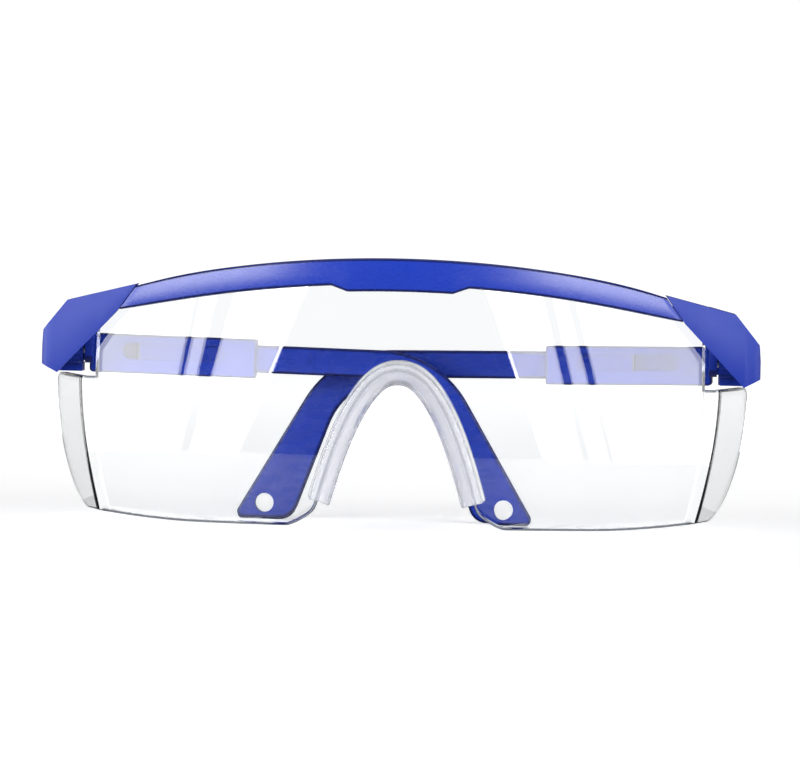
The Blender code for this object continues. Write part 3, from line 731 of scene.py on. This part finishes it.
def clear_plastic(name, roughness, ior, ripple_scale, ripple, tints, inner_tint, clearness, lamp_share):
    """Clear moulded plastic with painted shade: a darker tint where it is seen edge on, at its rim and on
    its rounded edges.

    The colour changes a little between the two tints, and is inner_tint where the mesh is marked inner.
    """
    made = Nodes(name)
    shader = made.shader
    shader.inputs["Transmission Weight"].default_value = clearness
    shader.inputs["Roughness"].default_value = roughness
    shader.inputs["IOR"].default_value = ior
    # Painted shade: the tint darkens towards the edge colour where the surface is seen edge on, along the
    # lens's rim and on rounded edges, for the dark edge lines and the contact shadow under the lens.
    turned_away = made.add("ShaderNodeLayerWeight").outputs["Facing"]
    edge = made.add("ShaderNodeMix", data_type="RGBA")
    edge.inputs[7].default_value = (*CLEAR_EDGE_SHADE, 1)
    rim = made.add("ShaderNodeAttribute", attribute_name="rim").outputs["Fac"]
    darker = made.add("ShaderNodeMath", operation="MAXIMUM")
    made.link(made.ranged(turned_away, 0, 0.8, (0.90, 0.99)), darker.inputs[0])
    made.link(made.ranged(rim, 0, 1, (0.05, 0.5)), darker.inputs[1])
    edge_shaded = made.add("ShaderNodeMath", operation="MAXIMUM")
    rounding_shade = made.add("ShaderNodeAttribute", attribute_name="rounding_shade").outputs["Fac"]
    made.link(darker.outputs[0], edge_shaded.inputs[0])
    made.link(made.ranged(rounding_shade, 0, 0.3, (0, 1)), edge_shaded.inputs[1])
    made.link(edge_shaded.outputs[0], edge.inputs[0])
    body = made.add("ShaderNodeMix", data_type="RGBA")
    made.link(made.add("ShaderNodeAttribute", attribute_name="inner").outputs["Fac"], body.inputs[0])
    made.link(made.blend(made.ranged(made.noise(40, 2), 0, 1), *tints), body.inputs[6])
    body.inputs[7].default_value = (*inner_tint, 1)
    made.link(body.outputs[2], edge.inputs[6])
    made.link(edge.outputs[2], shader.inputs["Base Color"])
    waves = made.bump(made.noise(ripple_scale, 2), ripple, 0.0002)
    hairs = made.bump(made.noise(900, 2, 0.5, (6, 1, 0.25)), ripple * 0.3, 0.00002, waves)
    made.link(hairs, shader.inputs["Normal"])
    made.let_lamps_through(lamp_share)
    return made.material


def turned_steel():
    """Steel with fine rings left by turning."""
    made = Nodes("pin_steel")
    made.shader.inputs["Metallic"].default_value = 1.0
    tone = made.ranged(made.noise(900, 3), 0, 1)
    made.link(made.blend(tone, (0.50, 0.51, 0.53), (0.68, 0.69, 0.71)), made.shader.inputs["Base Color"])
    made.link(made.ranged(made.noise(2400, 3), 0.2, 0.38), made.shader.inputs["Roughness"])
    rings = made.noise(3000, 2, 0.5, (4, 0.3, 0.3))
    made.link(made.bump(rings, 0.2, 0.00002), made.shader.inputs["Normal"])
    return made.material


def plain_emitter(name, strength):
    """An even white light, for pieces of the studio."""
    material = bpy.data.materials.new(name)
    material.use_nodes = True
    tree = material.node_tree
    tree.nodes.remove(tree.nodes["Principled BSDF"])
    light = tree.nodes.new("ShaderNodeEmission")
    light.inputs["Color"].default_value = (1, 1, 1, 1)
    light.inputs["Strength"].default_value = strength
    tree.links.new(light.outputs[0], tree.nodes["Material Output"].inputs["Surface"])
    return material


def table_paint():
    """Pale matt paint, a little self-lit so that it stays as bright as the backdrop."""
    made = Nodes("table_paint")
    tone = made.ranged(made.noise(30, 4), 0, 1)
    made.link(made.blend(tone, (0.90, 0.90, 0.90), (0.93, 0.93, 0.93)), made.shader.inputs["Base Color"])
    made.shader.inputs["Roughness"].default_value = 0.6
    made.shader.inputs["Emission Color"].default_value = (1, 1, 1, 1)
    split = made.add("ShaderNodeSeparateXYZ")
    made.link(made.place, split.inputs[0])
    glow = made.ranged(split.outputs["Y"], 0.44, 0.98, (-0.02, 0.9))
    made.link(glow, made.shader.inputs["Emission Strength"])
    return made.material


# ---------------------------------------------------------------- studio


def camera_place():
    flat = CAMERA_DISTANCE * math.cos(CAMERA_ELEVATION)
    return CAMERA_AIM + Vector((
        flat * math.sin(CAMERA_YAW),
        -flat * math.cos(CAMERA_YAW),
        CAMERA_DISTANCE * math.sin(CAMERA_ELEVATION),
    ))


def make_camera():
    data = bpy.data.cameras.new("camera")
    camera = bpy.data.objects.new("camera", data)
    bpy.context.scene.collection.objects.link(camera)
    data.lens = CAMERA_LENS
    data.sensor_width = 36.0
    camera.location = camera_place()
    facing = (CAMERA_AIM - camera.location).to_track_quat("-Z", "Y")
    roll = Matrix.Rotation(CAMERA_ROLL, 3, "Z").to_quaternion()
    camera.rotation_mode = "QUATERNION"
    camera.rotation_quaternion = facing @ roll
    data.clip_start, data.clip_end = 0.05, 20
    bpy.context.scene.camera = camera


def mirror_direction(x, z):
    """The point where a camera ray meets the lens's front face, and where it goes when mirrored."""
    heading = math.asin(x / FRONT_RADIUS)
    point = placed((x, FRONT_RADIUS * (1 - math.cos(heading)), z))
    normal = Vector((math.sin(heading), -math.cos(heading), 0))
    ray = (point - camera_place()).normalized()
    return point, ray - 2 * ray.dot(normal) * normal


def sheet(name, points, faces, material, hidden_from=()):
    """A piece of the studio, hidden from the kinds of rays that are named."""
    mesh = bpy.data.meshes.new(name)
    mesh.from_pydata([Vector(p) for p in points], [], faces)
    made = bpy.data.objects.new(name, mesh)
    bpy.context.scene.collection.objects.link(made)
    mesh.materials.append(material)
    for ray in hidden_from:
        setattr(made, f"visible_{ray}", False)


def make_panel(name, inner, outer, emitter):
    """A softbox that the camera sees in the lens between two lines."""
    rows = np.linspace(PANEL_Z_LOW, PANEL_Z_HIGH, 22)
    shares = np.linspace(0, 1, 9)
    points, faces = [], []
    for z in rows:
        above = z - LINE_HIGH
        ends = [top + (top - low) / (LINE_HIGH - LINE_LOW) * above for top, low in (inner, outer)]
        for share in shares:
            x = ends[0] + (ends[1] - ends[0]) * share
            point, away = mirror_direction(min(max(x, -LENS_REACH), LENS_REACH), z)
            points.append(point + away * PANEL_DISTANCE)
    wide = len(shares)
    for i in range(len(rows) - 1):
        for j in range(wide - 1):
            a = i * wide + j
            faces.append((a, a + 1, a + wide + 1, a + wide))
    sheet(name, points, faces, emitter)


def area_light(name, place, aim, width, height, radiance):
    data = bpy.data.lights.new(name, "AREA")
    data.shape = "RECTANGLE"
    data.size, data.size_y = width, height
    data.energy = radiance * math.pi * width * height
    light = bpy.data.objects.new(name, data)
    bpy.context.scene.collection.objects.link(light)
    light.location = place
    light.rotation_mode = "QUATERNION"
    light.rotation_quaternion = (Vector(aim) - Vector(place)).to_track_quat("-Z", "Y")


def make_table():
    """The table top with a round front, and what is seen past it and mirrored in the lens."""
    angles = np.radians(np.arange(-90, 91, 3))
    front = [(TABLE_HALF_WIDTH * math.sin(a), -TABLE_FRONT * math.cos(a), 0.0) for a in angles]
    back = [(side * TABLE_HALF_WIDTH, TABLE_BACK, 0.0) for side in (-1, 1)]
    edge = [back[0], *front, back[1]]
    points = [(0.0, 0.35, 0.0), *edge]
    faces = [(0, i, i + 1) for i in range(1, len(edge))] + [(0, len(edge), 1)]
    sheet("table", points, faces, table_paint(), ("glossy", "diffuse"))
    gloss_only = ("camera", "diffuse", "transmission")
    for side in (-1, 1):
        card = [(side * x, 1.15, z) for x, z in ((0.25, -0.3), (0.95, -0.3), (0.95, 0.7), (0.25, 0.7))]
        sheet(f"card_{side}", card, [(0, 1, 2, 3)], plain_emitter("card_white", 0.55), gloss_only)
    for side, strength in ((-1, 4.0), (1, 1.8)):
        near, far = (side * 0.97, -0.26), (side * 0.77, 0.64)
        card = [(*near, -0.1), (*far, -0.1), (*far, 0.5), (*near, 0.5)]
        sheet(f"cap_card_{side}", card, [(0, 1, 2, 3)], plain_emitter("cap_white", strength), gloss_only)
    shine = [(x, min(y, TABLE_GLOSS_END), -0.0006) for x, y, z in points]
    sheet("table_shine", shine, faces, plain_emitter("table_seen_by_the_lens", 0.15), gloss_only)


def make_surroundings():
    floor = [(-1.2, -1.5, -0.012), (1.2, -1.5, -0.012), (1.2, 1.3, -0.012), (-1.2, 1.3, -0.012)]
    camera_only = ("glossy", "diffuse", "transmission")
    sheet("floor_sweep", floor, [(0, 1, 2, 3)], plain_emitter("floor_white", 1.1), camera_only)
    white = plain_emitter("backdrop_white", 1.08)
    wall = [(x, BACKDROP_Y, z) for x, z in ((-2.5, -0.9), (2.5, -0.9), (2.5, 2.03), (-2.5, 2.03))]
    sheet("backdrop", wall, [(0, 1, 2, 3)], white, ("glossy", "diffuse"))
    square = ((-1, -1), (1, -1), (1, 1), (-1, 1))
    room = [(SURROUND * a, SURROUND * b, SURROUND * c) for c in (-1, 1) for a, b in square]
    walls = [(0, 1, 5, 4), (1, 2, 6, 5), (2, 3, 7, 6), (3, 0, 4, 7), (0, 3, 2, 1), (4, 5, 6, 7)]
    sheet("surround", room, walls, white, camera_only)


def make_stage():
    make_table()
    make_surroundings()
    emitters = {
        "softbox": plain_emitter("softbox", PANEL_STRENGTH),
        "softbox_right": plain_emitter("softbox_right", PANEL_STRENGTH * 0.88),
        "softbox_edge": plain_emitter("softbox_edge", PANEL_STRENGTH * 3),
    }
    for name, inner, outer, kind in PANELS:
        make_panel(name, inner, outer, emitters[kind])
    for side in (-1, 1):
        area_light(f"side_{side}", (side * 1.0, -0.84, 0.36), (0.0, -0.01, 0.36), 0.95, 0.62, 8.2)
    area_light("overhead", (0.0, -0.05, 1.0), (0.0, 0.0, 0.0), 1.1, 0.7, 0.9)
    world = bpy.data.worlds.new("studio")
    world.use_nodes = True
    background = world.node_tree.nodes["Background"]
    background.inputs["Color"].default_value = (0.05, 0.05, 0.06, 1)
    background.inputs["Strength"].default_value = 1.0
    bpy.context.scene.world = world


# ---------------------------------------------------------------- the whole object


def show(piece, body, node, slot, material):
    """Gives a visible piece its material, and rides it on its body in place of its CAD node."""
    piece.data.materials.clear()
    piece.data.materials.append(material)
    # Pieces of these slots get painted shade on their rounded edges.
    if slot in ("blue_nylon", "nose_clear"):
        mark_roundings(piece)
    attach(piece, body)
    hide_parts(node)


def build():
    # The three blue materials are one nylon. The brow's copy and the housings' satin copy have their colour
    # scaled lighter, as painted light for parts that catch more light. The satin copy is also rougher.
    brow_painted_light = blue_nylon(
        "blue_nylon_brow_painted_light", smooth=0.26, rough=0.29, specular=0.62, grain_strength=0.02, painted_light_scale=1.42
    )
    blue = blue_nylon("blue_nylon", smooth=0.26, rough=0.29, specular=0.3, grain_strength=0.03, painted_light_scale=1.02)
    satin_painted_light = blue_nylon(
        "blue_nylon_satin_painted_light", smooth=0.42, rough=0.47, specular=0.27, grain_strength=0.12, painted_light_scale=1.24
    )
    clear = clear_plastic(
        "lens_polycarbonate",
        roughness=0.0,
        ior=1.586,
        ripple_scale=55,
        ripple=0.02,
        tints=((0.955, 0.97, 0.98), (0.97, 0.985, 0.99)),
        inner_tint=(0.97, 0.98, 0.99),
        clearness=1.0,
        lamp_share=0.82,
    )
    soft = clear_plastic(
        "nose_clear",
        roughness=0.13,
        ior=1.50,
        ripple_scale=240,
        ripple=0.05,
        tints=((0.96, 0.97, 0.985), (0.975, 0.98, 0.99)),
        inner_tint=(0.80, 0.81, 0.885),
        clearness=0.8,
        lamp_share=0.5,
    )
    steel = turned_steel()
    show(make_lens(), "frame", "lens", "lens_polycarbonate", clear)
    show(make_brow_bar(), "frame", "brow_bar", "blue_nylon", brow_painted_light)
    show(make_nose_piece(), "frame", "nose_piece", "nose_clear", soft)
    for side_name, side in SIDES.items():
        body = f"{side_name}_knuckle"
        housing = finer_copy(f"{side_name}_hinge_housing", f"{side_name}_housing_moulding", 0.45)
        show(housing, "frame", f"{side_name}_hinge_housing", "blue_nylon", satin_painted_light)
        knuckle = finer_copy(f"{side_name}_ratchet_knuckle", f"{side_name}_knuckle_moulding", 0.12)
        show(knuckle, body, f"{side_name}_ratchet_knuckle", "blue_nylon", blue)
        sleeve = make_sleeve(side_name)
        show(sleeve, f"{side_name}_sleeve", f"{side_name}_temple_sleeve", "blue_nylon", blue)
        arm = make_arm(side_name)
        show(arm, f"{side_name}_arm", f"{side_name}_temple_arm", "blue_nylon", blue)
        tilt_pin = make_pin(
            f"{side_name}_tilt_pin_turned", TILT_PIN_RADIUS, EAR_LEFT + 0.1, HOUSING_RIGHT - 1.0,
            lambda a, b, c, s=side: (s * c, TILT_Y + a, TILT_Z + b),
        )
        show(tilt_pin, "frame", f"{side_name}_tilt_pin", "pin_steel", steel)
        half = LUG_HALF - 0.1
        fold_pin = make_pin(
            f"{side_name}_fold_pin_turned", FOLD_PIN_RADIUS, -half, half,
            lambda a, b, c, s=side: (s * FOLD_X + a, FOLD_Y + b, HINGE_Z + c),
        )
        show(fold_pin, body, f"{side_name}_fold_pin", "pin_steel", steel)


build()
make_stage()
make_camera()
scene = bpy.context.scene
scene.view_settings.view_transform = "Standard"
scene.view_settings.look = "None"
scene.cycles.max_bounces = 16
scene.cycles.transmission_bounces = 14
scene.cycles.transparent_max_bounces = 16
scene.cycles.caustics_refractive = True
